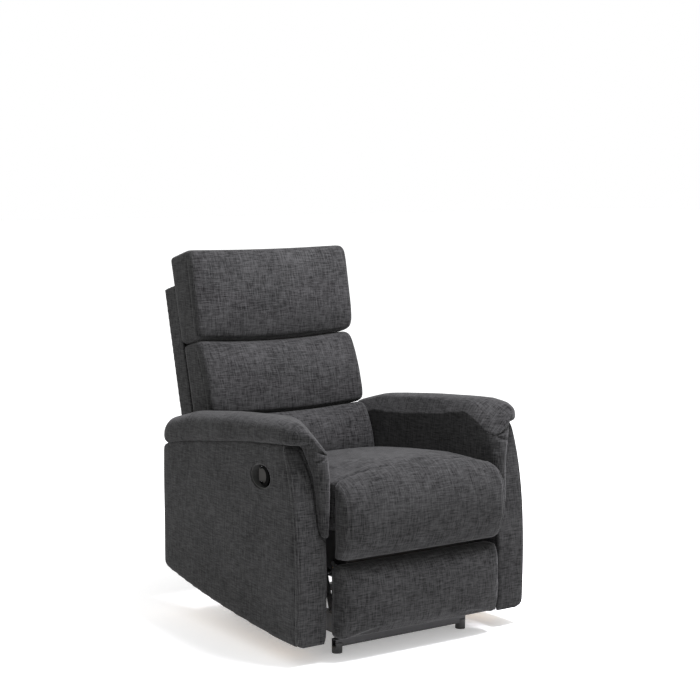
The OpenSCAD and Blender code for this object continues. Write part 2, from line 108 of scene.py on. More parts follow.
def add_studio():
    world = bpy.data.worlds.new("studio")
    world.use_nodes = True
    world.node_tree.nodes["Background"].inputs["Color"].default_value = (1, 1, 1, 1)
    world.node_tree.nodes["Background"].inputs["Strength"].default_value = 1.0
    scene.world = world
    area_light("key", KEY_AT, (0, 0, 0.5), KEY_SIZE, KEY_POWER, KEY_COLOUR)
    floor = bpy.data.meshes.new("floor")
    corners = [(-1, -1), (1, -1), (1, 1), (-1, 1)]
    floor.from_pydata([(x * FLOOR_HALF, y * FLOOR_HALF, 0) for x, y in corners], [], [(0, 1, 2, 3)])
    floor_object = bpy.data.objects.new("floor", floor)
    scene.collection.objects.link(floor_object)
    floor_object.data.materials.append(pale_floor())


# ------------------------------------------------------------------ materials

# Latch colours, and how far its crescent stands out from its plate; the crescent's near-black is painted
# shade for the dark gap round the paddle's front
BEZEL_COLOUR = (0.022, 0.022, 0.021)
PLATE_COLOUR = (0.042, 0.041, 0.039)
# Near-black for the crescent: painted shadow standing in for the gap round the paddle's front
CRESCENT_SHADE_COLOUR = (0.0015, 0.0015, 0.0015)
CRESCENT_HEIGHT = 6.6 * MM

class Nodes:
    """Short calls for building one material's node tree."""

    def __init__(self, name):
        self.material = bpy.data.materials.new(name)
        self.material.use_nodes = True
        self.tree = self.material.node_tree
        self.shader = self.tree.nodes["Principled BSDF"]

    def add(self, kind, **values):
        node = self.tree.nodes.new(kind)
        for key, value in values.items():
            setattr(node, key, value)
        return node

    def link(self, source, target):
        self.tree.links.new(source, target)

    def math(self, operation, a, b=None):
        node = self.add("ShaderNodeMath", operation=operation)
        for socket, value in zip(node.inputs, (a, b)):
            if isinstance(value, (int, float)):
                socket.default_value = value
            elif value is not None:
                self.link(value, socket)
        return node.outputs[0]

    def combine(self, x, y, z=0.0):
        node = self.add("ShaderNodeCombineXYZ")
        for socket, value in zip(node.inputs, (x, y, z)):
            if isinstance(value, (int, float)):
                socket.default_value = value
            else:
                self.link(value, socket)
        return node.outputs[0]

    def noise(self, vector, scale, detail=2.0, roughness=0.5, distortion=0.0):
        node = self.add("ShaderNodeTexNoise")
        node.inputs["Scale"].default_value = scale
        node.inputs["Detail"].default_value = detail
        node.inputs["Roughness"].default_value = roughness
        node.inputs["Distortion"].default_value = distortion
        self.link(vector, node.inputs["Vector"])
        return node.outputs["Fac"]

    def ramp(self, value, stops):
        node = self.add("ShaderNodeValToRGB")
        elements = node.color_ramp.elements
        while len(elements) < len(stops):
            elements.new(0.5)
        for element, (place, colour) in zip(elements, stops):
            element.position = place
            element.color = (*colour, 1)
        self.link(value, node.inputs["Fac"])
        return node.outputs["Color"]

    def bump(self, height, strength, distance):
        node = self.add("ShaderNodeBump")
        node.inputs["Strength"].default_value = strength
        node.inputs["Distance"].default_value = distance
        self.link(height, node.inputs["Height"])
        self.link(node.outputs["Normal"], self.shader.inputs["Normal"])

    def set(self, **values):
        for key, value in values.items():
            self.shader.inputs[key.replace("_", " ")].default_value = value


def object_point(n):
    return n.add("ShaderNodeTexCoord").outputs["Object"]


def cloth_plane(n):
    """Two coordinates in the plane of the cloth, picked by the way the surface faces."""
    source = n.add("ShaderNodeTexCoord")
    place = n.add("ShaderNodeSeparateXYZ")
    facing = n.add("ShaderNodeSeparateXYZ")
    n.link(source.outputs["Object"], place.inputs[0])
    n.link(source.outputs["Normal"], facing.inputs[0])
    x, y, z = (n.math("ABSOLUTE", facing.outputs[i]) for i in range(3))
    on_side = n.math("GREATER_THAN", x, n.math("MAXIMUM", y, z))
    on_top = n.math("MULTIPLY", n.math("GREATER_THAN", z, y), n.math("SUBTRACT", 1.0, on_side))
    px, py, pz = (place.outputs[i] for i in range(3))

    def pick(side, other, choose):
        return n.math("ADD", n.math("MULTIPLY", side, choose),
                      n.math("MULTIPLY", other, n.math("SUBTRACT", 1.0, choose)))

    return pick(py, px, on_side), pick(py, pz, on_top)


def woven(name, dark, light, relief=0.35):
    """Slubbed linen-look cloth: long thin threads both ways over a fine plain weave."""
    n = Nodes(name)
    u, v = cloth_plane(n)
    thin, long = 470.0, 38.0

    def threads(across, along, shift):
        vector = n.combine(n.math("MULTIPLY", across, thin), n.math("MULTIPLY", along, long), shift)
        return n.noise(vector, 1.0, detail=2.5, roughness=0.6)

    warp = threads(u, v, 1.7)
    weft = threads(v, u, 8.3)
    slub = n.math("MULTIPLY", n.math("ADD", warp, weft), 0.5)
    point = object_point(n)
    cloud = n.noise(point, 9.0, detail=3.0)
    fleck = n.noise(n.combine(n.math("MULTIPLY", u, 900.0), n.math("MULTIPLY", v, 900.0)), 1.0, detail=1.0)
    tone = n.math("ADD", n.math("MULTIPLY", slub, 0.75),
                  n.math("ADD", n.math("MULTIPLY", fleck, 0.15), n.math("MULTIPLY", cloud, 0.10)))
    middle = [(a + b) / 2 for a, b in zip(dark, light)]
    colour = n.ramp(tone, [(0.40, dark), (0.50, middle), (0.60, light)])
    n.link(colour, n.shader.inputs["Base Color"])
    pitch = 2 * math.pi / 0.0021
    grid = n.math("MULTIPLY", n.math("SINE", n.math("MULTIPLY", u, pitch)),
                  n.math("SINE", n.math("MULTIPLY", v, pitch)))
    height = n.math("ADD", n.math("MULTIPLY", grid, 0.18), n.math("MULTIPLY", slub, 2.0))
    n.bump(height, relief, 0.0009)
    n.set(Roughness=0.92, Specular_IOR_Level=0.12, Sheen_Weight=0.08, Sheen_Roughness=0.4)
    return n.material


def moulded(name, colour, roughness, grain=0.12):
    """Moulded plastic with a fine spark-eroded texture and faint handling marks."""
    n = Nodes(name)
    point = object_point(n)
    fine = n.noise(point, 1500.0, detail=2.0)
    wear = n.noise(point, 45.0, detail=4.0, roughness=0.65)
    tint = n.ramp(wear, [(0.35, [c * 0.8 for c in colour]), (0.7, [c * 1.35 for c in colour])])
    n.link(tint, n.shader.inputs["Base Color"])
    rough = n.math("ADD", n.math("MULTIPLY", wear, 0.2), roughness - 0.1)
    n.link(rough, n.shader.inputs["Roughness"])
    n.bump(fine, grain, 0.0003)
    return n.material


def paddle_plastic_and_gap_shade():
    """The latch's plate in the bezel's colour, its crescent, which stands out from the plate, in black as
    painted shade for the dark gap round the paddle's front.
    """
    n = Nodes("paddle_plastic_and_gap_shade")
    point = object_point(n)
    place = n.add("ShaderNodeSeparateXYZ")
    n.link(point, place.inputs[0])
    outermost = min(vertex.co.x for vertex in frame["nodes"]["release_paddle"].data.vertices)
    # Mask for the crescent, whose black is painted shade for the gap round the paddle's front
    crescent_shade_mask = n.math("LESS_THAN", place.outputs[0], outermost + CRESCENT_HEIGHT)
    n.link(n.ramp(crescent_shade_mask, [(0.4, PLATE_COLOUR), (0.6, CRESCENT_SHADE_COLOUR)]), n.shader.inputs["Base Color"])
    n.bump(n.noise(point, 1500.0, detail=2.0), 0.12, 0.0003)
    n.set(Roughness=0.8, Specular_IOR_Level=0.02)
    return n.material


def powder_coat(name, colour, roughness=0.5):
    """Painted steel with orange-peel relief and a little dust in scattered patches."""
    n = Nodes(name)
    point = object_point(n)
    peel = n.noise(point, 900.0, detail=1.5)
    dust = n.noise(point, 22.0, detail=5.0, roughness=0.6)
    tint = n.ramp(dust, [(0.4, colour), (0.78, [c * 2.2 + 0.004 for c in colour])])
    n.link(tint, n.shader.inputs["Base Color"])
    n.link(n.math("ADD", n.math("MULTIPLY", dust, 0.25), roughness - 0.12), n.shader.inputs["Roughness"])
    n.bump(peel, 0.15, 0.0004)
    n.set(Metallic=0.0, Specular_IOR_Level=0.5)
    return n.material


def zinc_plate(name):
    """Zinc-plated steel: bright and slightly mottled."""
    n = Nodes(name)
    point = object_point(n)
    mottle = n.noise(point, 160.0, detail=4.0, roughness=0.7)
    n.link(n.ramp(mottle, [(0.3, (0.38, 0.39, 0.40)), (0.75, (0.62, 0.63, 0.65))]),
           n.shader.inputs["Base Color"])
    n.link(n.math("ADD", n.math("MULTIPLY", mottle, 0.3), 0.2), n.shader.inputs["Roughness"])
    n.bump(n.noise(point, 1200.0, detail=1.0), 0.1, 0.0003)
    n.set(Metallic=1.0)
    return n.material


def sawn_timber(name):
    """Pale sawn timber with long growth rings."""
    n = Nodes(name)
    point = object_point(n)
    place = n.add("ShaderNodeSeparateXYZ")
    n.link(point, place.inputs[0])
    grain_point = n.combine(n.math("MULTIPLY", place.outputs[0], 60.0),
                            n.math("MULTIPLY", place.outputs[1], 9.0),
                            n.math("MULTIPLY", place.outputs[2], 9.0))
    grain = n.noise(grain_point, 1.0, detail=6.0, roughness=0.6, distortion=1.2)
    n.link(n.ramp(grain, [(0.3, (0.34, 0.20, 0.10)), (0.5, (0.52, 0.35, 0.19)), (0.7, (0.63, 0.46, 0.27))]),
           n.shader.inputs["Base Color"])
    n.bump(grain, 0.3, 0.0008)
    n.set(Roughness=0.75)
    return n.material


def pale_floor():
    n = Nodes("pale_floor")
    faint = n.noise(object_point(n), 3.0, detail=3.0)
    n.link(n.ramp(faint, [(0.3, (0.88, 0.88, 0.88)), (0.7, (0.91, 0.91, 0.91))]),
           n.shader.inputs["Base Color"])
    n.set(Roughness=0.9, Specular_IOR_Level=0.1, Emission_Color=(1, 1, 1, 1), Emission_Strength=0.30)
    return n.material


def make_materials():
    return {
        "charcoal_fabric": woven("charcoal_linen", (0.002, 0.002, 0.002), (0.034, 0.034, 0.0338)),
        "black_steel": powder_coat("black_powder_coat", (0.011, 0.011, 0.012)),
        "link_steel": powder_coat("black_lacquer", (0.016, 0.016, 0.017), 0.38),
        "zinc": zinc_plate("zinc_plate"),
        "timber": sawn_timber("sawn_timber"),
        "black_plastic": moulded("black_plastic", (0.010, 0.010, 0.010), 0.42),
        "cable_sheath": moulded("cable_sheath", (0.014, 0.014, 0.014), 0.35, 0.05),
        "bezel_plastic": moulded("bezel_plastic", BEZEL_COLOUR, 0.75),
        "paddle_plastic_and_gap_shade": paddle_plastic_and_gap_shade(),
    }


def paint(obj, material):
    obj.data.materials.clear()
    obj.data.materials.append(material)


def paint_frame():
    """Gives every CAD node the finish of its material slot, the latch its own two."""
    # The paddle's material paints its crescent black as painted shade for the gap round its front
    own = {"latch_bezel": "bezel_plastic", "release_paddle": "paddle_plastic_and_gap_shade"}
    for row in frame["record"]["subparts"]:
        node = frame["nodes"][row["node"]]
        finish = materials[own.get(row["node"], row["material_slot"])]
        if not node.material_slots:
            node.data.materials.append(finish)
        for place in node.material_slots:
            place.link = "OBJECT"
            place.material = finish


# ------------------------------------------------------------------ mesh tools

def bezier(p, q, r, s, n=16):
    p, q, r, s = (np.array(k, float) for k in (p, q, r, s))
    t = np.linspace(0, 1, n + 1)[:, None]
    u = 1 - t
    return u ** 3 * p + 3 * u * u * t * q + 3 * u * t * t * r + t ** 3 * s


def resample(points, count, closed=True):
    """The same outline with evenly spaced points."""
    points = np.asarray(points, float)
    if closed:
        points = np.vstack([points, points[:1]])
    steps = np.r_[0, np.cumsum(np.linalg.norm(np.diff(points, axis=0), axis=1))]
    at = np.linspace(0, steps[-1], count, endpoint=not closed)
    return np.stack([np.interp(at, steps, points[:, k]) for k in range(points.shape[1])], 1)


def inward(points):
    """Unit normals that point into a closed [y, z] outline."""
    ahead = np.roll(points, -1, 0) - np.roll(points, 1, 0)
    normal = np.stack([-ahead[:, 1], ahead[:, 0]], 1)
    normal /= np.linalg.norm(normal, axis=1)[:, None] + 1e-12
    area = np.sum(points[:, 0] * np.roll(points[:, 1], -1) - np.roll(points[:, 0], -1) * points[:, 1])
    return normal if area > 0 else -normal


def shrink(points, distance):
    return points + inward(points) * distance


def new_object(name, vertices, faces):
    mesh = bpy.data.meshes.new(name)
    mesh.from_pydata([tuple(v) for v in vertices], [], faces)
    mesh.update()
    obj = bpy.data.objects.new(name, mesh)
    scene.collection.objects.link(obj)
    return obj


def loft(name, rings):
    """A closed solid through rings of equal length, capped at both ends."""
    count = len(rings[0])
    vertices = np.vstack(rings)
    faces = []
    for i in range(len(rings) - 1):
        for k in range(count):
            m = (k + 1) % count
            faces.append((i * count + k, i * count + m, (i + 1) * count + m, (i + 1) * count + k))
    obj = new_object(name, vertices, faces)
    mesh = bmesh.new()
    mesh.from_mesh(obj.data)
    mesh.verts.ensure_lookup_table()
    last = (len(rings) - 1) * count
    for ring in (range(count), range(last, last + count)):
        cap = mesh.faces.new([mesh.verts[k] for k in ring])
        bmesh.ops.triangulate(mesh, faces=[cap])
    bmesh.ops.recalc_face_normals(mesh, faces=mesh.faces)
    mesh.to_mesh(obj.data)
    mesh.free()
    return obj


def across(outline, x):
    """An outline in [y, z] placed at one x."""
    return np.column_stack([np.full(len(outline), x), outline])


def rounded_slab(name, outline, x0, x1, r0, r1, steps=5):
    """An outline extruded from x0 to x1, its two rims rounded by r0 and r1."""
    rings = []
    for angle in np.linspace(0, math.pi / 2, steps):
        inset = r0 * (1 - math.sin(angle))
        rings.append(across(shrink(outline, inset), x0 + r0 * (1 - math.cos(angle))))
    for angle in np.linspace(math.pi / 2, 0, steps):
        inset = r1 * (1 - math.sin(angle))
        rings.append(across(shrink(outline, inset), x1 - r1 * (1 - math.cos(angle))))
    return loft(name, rings)


def apply_modifiers(obj):
    depsgraph = bpy.context.evaluated_depsgraph_get()
    mesh = bpy.data.meshes.new_from_object(obj.evaluated_get(depsgraph))
    old = obj.data
    obj.modifiers.clear()
    obj.data = mesh
    bpy.data.meshes.remove(old)


def remesh(obj, size):
    modifier = obj.modifiers.new("remesh", "REMESH")
    modifier.mode = "VOXEL"
    modifier.voxel_size = size
    apply_modifiers(obj)


def relax(obj, factor, rounds):
    modifier = obj.modifiers.new("relax", "SMOOTH")
    modifier.factor = factor
    modifier.iterations = rounds
    apply_modifiers(obj)


def subdivide(obj):
    modifier = obj.modifiers.new("subdivide", "SUBSURF")
    modifier.levels = 1
    modifier.render_levels = 1
    apply_modifiers(obj)


def join(first, *others):
    """Joins meshes into the first one."""
    mesh = bmesh.new()
    for obj in (first, *others):
        mesh.from_mesh(obj.data)
    mesh.to_mesh(first.data)
    mesh.free()
    for obj in others:
        bpy.data.objects.remove(obj)
    return first


def points_of(obj):
    flat = np.empty(len(obj.data.vertices) * 3)
    obj.data.vertices.foreach_get("co", flat)
    return flat.reshape(-1, 3)


def move_points(obj, points):
    obj.data.vertices.foreach_set("co", np.ascontiguousarray(points).ravel())
    obj.data.update()


def normals_of(obj):
    flat = np.empty(len(obj.data.vertices) * 3)
    obj.data.vertices.foreach_get("normal", flat)
    return flat.reshape(-1, 3)


def inflate(obj, pressure, cap, held):
    """Swells a padded piece by cloth simulation, no point by more than cap.

    held(points) picks the points that are sewn in place.
    """
    rest = points_of(obj)
    cloth = obj.modifiers.new("cloth", "CLOTH")
    settings = cloth.settings
    settings.quality = 5
    settings.mass = 0.3
    settings.tension_stiffness = CLOTH_STIFFNESS
    settings.compression_stiffness = CLOTH_STIFFNESS
    settings.shear_stiffness = CLOTH_STIFFNESS / 2
    settings.bending_stiffness = 0.6
    settings.use_pressure = True
    settings.uniform_pressure_force = pressure
    settings.effector_weights.gravity = 0
    group = obj.vertex_groups.new(name="sewn")
    group.add([int(k) for k in np.nonzero(held(rest))[0]], 1.0, "REPLACE")
    settings.vertex_group_mass = group.name
    cloth.point_cache.frame_start = 1
    cloth.point_cache.frame_end = CLOTH_FRAMES
    for number in range(1, CLOTH_FRAMES + 1):
        scene.frame_set(number)
    depsgraph = bpy.context.evaluated_depsgraph_get()
    shape = obj.evaluated_get(depsgraph)
    moved = np.empty(len(shape.data.vertices) * 3)
    shape.data.vertices.foreach_get("co", moved)
    step = moved.reshape(-1, 3) - rest
    length = np.linalg.norm(step, axis=1)[:, None]
    step *= np.minimum(1, cap / np.maximum(length, 1e-9))
    obj.modifiers.clear()
    obj.vertex_groups.clear()
    scene.frame_set(1)
    move_points(obj, rest + step)


def finish_soft(obj, body, nodes):
    """Covers a padded piece in the fabric and lets it stand for its CAD nodes."""
    obj.data.shade_smooth()
    paint(obj, materials["charcoal_fabric"])
    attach(obj, body)
    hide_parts(*nodes)


# ------------------------------------------------------------------ shared sizes

SIDES = {"left": 1, "right": -1}
ARM_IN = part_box("arm_liner_left")[0][0]
ARM_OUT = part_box("arm_panel_left")[1][0]
PAD_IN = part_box("arm_pad_left")[0][0]
ARM_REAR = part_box("arm_panel_left")[1][1]
SEAT_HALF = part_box("seat_cushion")[1][0]
PANEL = 14 * MM
COVER_REAR = ARM_REAR + 7 * MM
# Middle of the latch and the half sizes of the hole for it, in [y, z]
LATCH = (-0.236, 0.466)
LATCH_HOLE = (0.049, 0.033)
# The backrest's hinge in [y, z], its lean, and where its layers stand behind the hinge line
HINGE = np.array([0.165, 0.330])
LEAN = math.radians(15)
PILLOW_REAR = 92 * MM
SHELL_REAR = 155 * MM
SHELL_FRONT = 87 * MM


def back_yz(v, w):
    """The backrest's own axes, v to the rear and w up along it, as [y, z]."""
    v, w = np.asarray(v, float), np.asarray(w, float)
    return np.stack([HINGE[0] + v * math.cos(LEAN) + w * math.sin(LEAN),
                     HINGE[1] - v * math.sin(LEAN) + w * math.cos(LEAN)], -1)


def back_vw(points):
    """The backrest's own v and w for points in the frame's axes."""
    y, z = points[:, 1] - HINGE[0], points[:, 2] - HINGE[1]
    return (y * math.cos(LEAN) - z * math.sin(LEAN), y * math.sin(LEAN) + z * math.cos(LEAN))


def bell(distance, width):
    return np.exp(-(distance / width) ** 2)


def distance_to(points, path):
    """Distance from each point to a polyline, in two or three dimensions."""
    best = np.full(len(points), 1e9)
    path = np.asarray(path, float)
    for a, b in zip(path[:-1], path[1:]):
        run = b - a
        t = np.clip((points - a) @ run / max(run @ run, 1e-12), 0, 1)
        best = np.minimum(best, np.linalg.norm(points - a - t[:, None] * run, axis=1))
    return best


def ripple(points, size, seed=0.0):
    """Smooth unevenness between -1 and 1 with bumps about `size` across."""
    total = np.zeros(len(points))
    for k, (a, b, c) in enumerate([(1, .37, .61), (-.45, 1, .29), (.33, -.52, 1), (.8, .7, -.6)]):
        phase = seed + 1.9 * k
        total += np.sin((points @ np.array([a, b, c])) * 2 * math.pi / size + phase)
    return total / 4


def press(obj, paths, depth, width):
    """Presses seams or creases into a surface along polylines."""
    points, normals = points_of(obj), normals_of(obj)
    inwards = np.zeros(len(points))
    for path in paths:
        inwards = np.maximum(inwards, bell(distance_to(points, path), width))
    move_points(obj, points - normals * (inwards * depth)[:, None])


def bolster(name, section, x0, x1, edge, middle=16, rim=6):
    """A padded bar along X: section(x) is its outline in [y, z], its two ends rounded by edge."""
    rings = []
    for angle in np.linspace(0, math.pi / 2, rim):
        x = x0 + edge * (1 - math.cos(angle))
        rings.append(across(shrink(section(x), edge * (1 - math.sin(angle))), x))
    for x in np.linspace(x0 + edge, x1 - edge, middle)[1:-1]:
        rings.append(across(section(x), x))
    for angle in np.linspace(math.pi / 2, 0, rim):
        x = x1 - edge * (1 - math.cos(angle))
        rings.append(across(shrink(section(x), edge * (1 - math.sin(angle))), x))
    return loft(name, rings)


# ------------------------------------------------------------------ arms

def arm_front(back=0.0):
    return bezier([-0.402, 0.049], [-0.410, 0.230], [-0.412, 0.420], [-0.343, 0.562]) + [back, 0]


def arm_outline(back):
    under = bezier([COVER_REAR - 0.015, 0.122], [0.150, 0.097], [-0.060, 0.061], [-0.402 + back, 0.049])
    return np.vstack([arm_front(back), [[-0.126, 0.544], [0.257, 0.491], [COVER_REAR, 0.474],
                                        [COVER_REAR, 0.136]], under[:-1]])


def make_arm_cover(name, s):
    """Outer side of the arm: one upholstered panel, lightly padded, wrapped round the rear."""
    outline = resample(arm_outline(0.004), 150)
    cover = rounded_slab(f"arm_cover_{name}", outline, ARM_OUT - PANEL, ARM_OUT + 0.002, 0.002, 0.007)
    rear_outline = [[ARM_REAR - 0.010, 0.128], [COVER_REAR, 0.136], [COVER_REAR, 0.474],
                    [ARM_REAR - 0.010, 0.480]]
    rear = rounded_slab("rear_wrap", resample(rear_outline, 80), ARM_IN + 0.006, ARM_OUT - 0.001,
                        0.002, 0.004)
    join(cover, rear)
    remesh(cover, REMESH_PANEL)
    relax(cover, 0.5, 4)
    subdivide(cover)
    points = points_of(cover)
    inside = distance_to(points[:, 1:], np.vstack([outline, outline[:1]]))
    face = (points[:, 0] > ARM_OUT - 0.009).astype(float)
    padding = 0.0045 * (1 - np.exp(-inside / 0.022)) + 0.0007 * ripple(points, 0.21)
    points[:, 0] += face * padding
    points[:, 0] *= s
    move_points(cover, points)
    if s < 0:
        cover.data.flip_normals()
        cut_latch_hole(cover)
    finish_soft(cover, "base", [f"arm_panel_{name}"])


def cut_latch_hole(cover):
    angles = np.linspace(0, 2 * math.pi, 96, endpoint=False)
    ring = np.column_stack([LATCH[0] + LATCH_HOLE[0] * np.cos(angles),
                            LATCH[1] + LATCH_HOLE[1] * np.sin(angles)])
    cutter = loft("cutter", [across(ring, -0.40), across(ring, -0.30)])
    hole = cover.modifiers.new("latch", "BOOLEAN")
    hole.operation = "DIFFERENCE"
    hole.object = cutter
    apply_modifiers(cover)
    bpy.data.objects.remove(cutter)


def make_arm_facing(name, s):
    """Front of the arm: a padded strip up the bowed front edge, grooved beside tongue and side seam."""
    rings = []
    corner = 18 * MM
    curve = resample(arm_front(), 120, closed=False)
    ahead = np.gradient(curve, axis=0)
    ahead /= np.linalg.norm(ahead, axis=1)[:, None]
    step = np.linalg.norm(curve[1] - curve[0])
    for k, (place, way) in enumerate(zip(curve, ahead)):
        end = min(k, len(curve) - 1 - k) / 6
        inset = 0.004 * max(0, 1 - end) ** 2
        cut = max(0.0, 1 - k * step / corner)
        outer = ARM_OUT + 0.0035 - corner * (1 - math.sqrt(1 - cut * cut))
        half = (outer - ARM_IN) / 2
        middle = (outer + ARM_IN) / 2
        out = np.array([-way[1], way[0]])
        ring = []
        for angle in np.linspace(0, 2 * math.pi, 72, endpoint=False):
            c, q = math.cos(angle), math.sin(angle)
            x = (half - inset) * math.copysign(abs(c) ** 0.22, c)
            depth = (0.0085 - inset) * math.copysign(abs(q) ** 0.55, q) - 0.0065
            ring.append((middle + x, *(place + out * depth)))
        rings.append(resample(ring, 96))
    facing = loft(f"arm_cap_{name}", rings)
    subdivide(facing)
    beside_tongue = [[x + r + 0.001, front_y(z), z] for x, _, z, r in TONGUE[1:-1]]
    for x, z in ((TONGUE[-1][0], TONGUE_END), (ARM_IN, TONGUE_END + 0.0015)):
        beside_tongue.append([x, front_y(z), z])
    press(facing, [beside_tongue], 0.0085, 0.0028)
    side_seam = [[ARM_OUT - 0.003, front_y(z), z] for z in np.linspace(0.060, 0.555, 60)]
    press(facing, [side_seam], 0.0016, 0.0018)
    points = points_of(facing)
    points[:, 0] *= s
    move_points(facing, points)
    if s < 0:
        facing.data.flip_normals()
    finish_soft(facing, "base", [f"arm_facing_{name}"])


def front_y(z):
    """Where the facing's front surface stands at height z."""
    curve = np.array(arm_front())
    return float(np.interp(z, curve[:, 1], curve[:, 0])) - 0.002


PAD_STATIONS = [
    # y, underside z, crest z, inner x, outer x
    [0.299, 0.488, 0.524, 0.284, 0.352],
    [0.293, 0.479, 0.537, 0.272, 0.366],
    [0.270, 0.475, 0.554, 0.264, 0.373],
    [0.160, 0.496, 0.583, 0.264, 0.373],
    [-0.015, 0.520, 0.602, 0.264, 0.373],
    [-0.180, 0.542, 0.615, 0.264, 0.373],
    [-0.300, 0.553, 0.621, 0.264, 0.374],
    [-0.348, 0.557, 0.617, 0.264, 0.371],
    [-0.372, 0.561, 0.610, 0.265, 0.362],
    [-0.388, 0.567, 0.602, 0.267, 0.348],
    [-0.400, 0.573, 0.594, 0.272, 0.330],
    [-0.407, 0.579, 0.587, 0.280, 0.312],
]
TONGUE_END = 0.3155
# Balls along the tongue: x, y, z, radius
TONGUE = [[0.300, -0.368, 0.575, 0.032], [0.296, -0.376, 0.545, 0.030], [0.290, -0.384, 0.515, 0.027],
          [0.285, -0.391, 0.480, 0.023], [0.284, -0.396, 0.430, 0.020], [0.285, -0.400, 0.390, 0.018],
          [0.285, -0.402, 0.355, 0.016], [0.283, -0.402, 0.333, 0.013], [0.280, -0.401, 0.321, 0.007]]
INNER_LEAF = [[-0.392, 0.345], [-0.384, 0.325], [-0.370, 0.318], [0.262, 0.318], [0.278, 0.334],
              [0.278, 0.500], [0.160, 0.530], [-0.015, 0.555], [-0.180, 0.575], [-0.340, 0.585],
              [-0.384, 0.565], [-0.392, 0.500]]


def pad_section(y, low, crest, x0, x1, count=48):
    """One cross-section of the arm pad: flat below, full and rounded above."""
    middle, half = (x0 + x1) / 2, (x1 - x0) / 2
    waist = low + (crest - low) * 0.38
    ring = []
    for angle in np.linspace(0, 2 * math.pi, count, endpoint=False):
        c, q = math.cos(angle), math.sin(angle)
        x = middle + half * math.copysign(abs(c) ** 0.62, c)
        if q >= 0:
            z = waist + (crest - waist) * q ** 0.9
        else:
            z = waist - (waist - low) * abs(q) ** 0.5
        ring.append((x, y, z))
    return np.array(ring)


def smooth_step(values, start, end):
    """Zero at start, one at end, level at both."""
    t = np.clip((values - start) / (end - start), 0, 1)
    return t * t * (3 - 2 * t)


def drop_inner_nose(points):
    """Lets the pad's crest fall away towards its inner front corner."""
    fall = 0.050 * smooth_step(-points[:, 1], 0.25, 0.40) * smooth_step(-points[:, 0], -0.335, -0.270)
    points[:, 2] -= fall * smooth_step(points[:, 2], 0.530, 0.590)


def make_arm_pad(name, s):
    """Top pad with its nose, the tongue round the inner front corner and the inner leaf."""
    top = loft(f"arm_pad_soft_{name}", [pad_section(*row) for row in PAD_STATIONS])
    angles = np.linspace(0, 2 * math.pi, 28, endpoint=False)
    tongue = loft("tongue", [np.array([(x + r * math.cos(a), y + r * math.sin(a), z) for a in angles])
                             for x, y, z, r in TONGUE])
    leaf = rounded_slab("leaf", resample(INNER_LEAF, 160), PAD_IN, ARM_IN + 0.003, 0.007, 0.001)
    join(top, tongue, leaf)
    remesh(top, REMESH_FINE)
    relax(top, 0.5, 7)
    inflate(top, 3.0, 0.006, held=lambda p: p[:, 0] > ARM_IN + 0.002)
    subdivide(top)
    points = points_of(top)
    drop_inner_nose(points)
    move_points(top, points)
    pinch = [0.268, -0.400, 0.532]
    puckers = [[[0.338, -0.392, 0.566], [0.302, -0.406, 0.546], pinch],
               [[0.322, -0.400, 0.576], [0.292, -0.407, 0.556], pinch],
               [[0.300, -0.403, 0.578], [0.278, -0.402, 0.556], pinch],
               [[0.310, -0.402, 0.520], [0.290, -0.410, 0.524], pinch]]
    press(top, puckers, 0.0045, 0.0040)
    points = points_of(top)
    points += normals_of(top) * (0.0010 * ripple(points, 0.16, 2.0))[:, None]
    points[:, 0] = np.maximum(points[:, 0], PAD_IN)
    points[:, 0] *= s
    move_points(top, points)
    if s < 0:
        top.data.flip_normals()
    finish_soft(top, "base", [f"arm_pad_{name}"])


# ------------------------------------------------------------------ seat and footrest

def across_crown(x, power=3.0):
    """One along the chair's middle, falling to zero at the sides."""
    return 1 - abs(x / SEAT_HALF) ** power


def seat_section(x):
    crown = 0.026 * across_crown(x)
    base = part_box("seat_cushion")[0][2]
    top = [[0.128, 0.404], [0.112, 0.418 + crown * 0.3], [-0.021, 0.436 + crown * 0.8],
           [-0.147, 0.446 + crown], [-0.300, 0.457 + crown * 1.1], [-0.396, 0.462 + crown * 1.2]]
    return resample([[-0.398, base], [0.128, base], *top], 120)


def make_seat_cushion():
    cushion = bolster("seat_top", seat_section, -SEAT_HALF, SEAT_HALF, 0.014)
    remesh(cushion, REMESH_PANEL)
    relax(cushion, 0.5, 5)
    inflate(cushion, 3.0, 0.010, held=lambda p: (p[:, 2] < 0.37) | (p[:, 1] < -0.385))
    points = points_of(cushion)
    points[:, 0] = np.clip(points[:, 0], -SEAT_HALF - 0.003, SEAT_HALF + 0.003)
    move_points(cushion, points)
    subdivide(cushion)
    finish_soft(cushion, "seat", ["seat_cushion"])


def roll_section(x):
    crown = across_crown(x)
    crest = 0.463 + 0.031 * crown
    front = bezier([-0.432, 0.264], [-0.472 - 0.006 * crown, 0.300], [-0.496 - 0.006 * crown, 0.460],
                   [-0.400, crest], 24)
    return resample(np.vstack([[[-0.402, 0.264]], front]), 110)


def make_front_roll():
    """The puffed front of the seat, boxed at both sides with a seam."""
    roll = bolster("front_roll", roll_section, -SEAT_HALF - 0.004, SEAT_HALF + 0.004, 0.020)
    remesh(roll, REMESH_SOFT)
    relax(roll, 0.5, 5)
    inflate(roll, 3.5, 0.008, held=lambda p: (p[:, 1] > -0.408) | (p[:, 2] < 0.272))
    points = points_of(roll)
    points[:, 0] = np.clip(points[:, 0], -0.2625, 0.2625)
    points[:, 1] = np.minimum(points[:, 1], -0.3985)
    points[:, 2] = np.maximum(points[:, 2], 0.2605)
    move_points(roll, points)
    subdivide(roll)
    section = roll_section(SEAT_HALF - 0.016)
    seams = []
    for s in (1, -1):
        seam = across(shrink(section, 0.002), s * (SEAT_HALF - 0.009))
        seams.append(seam[(seam[:, 1] < -0.41)])
    press(roll, seams, 0.0025, 0.0035)
    finish_soft(roll, "seat", ["seat_front_roll"])


# Rear of the footrest's cover, level with the back of its board
FOOT_REAR = -0.3855


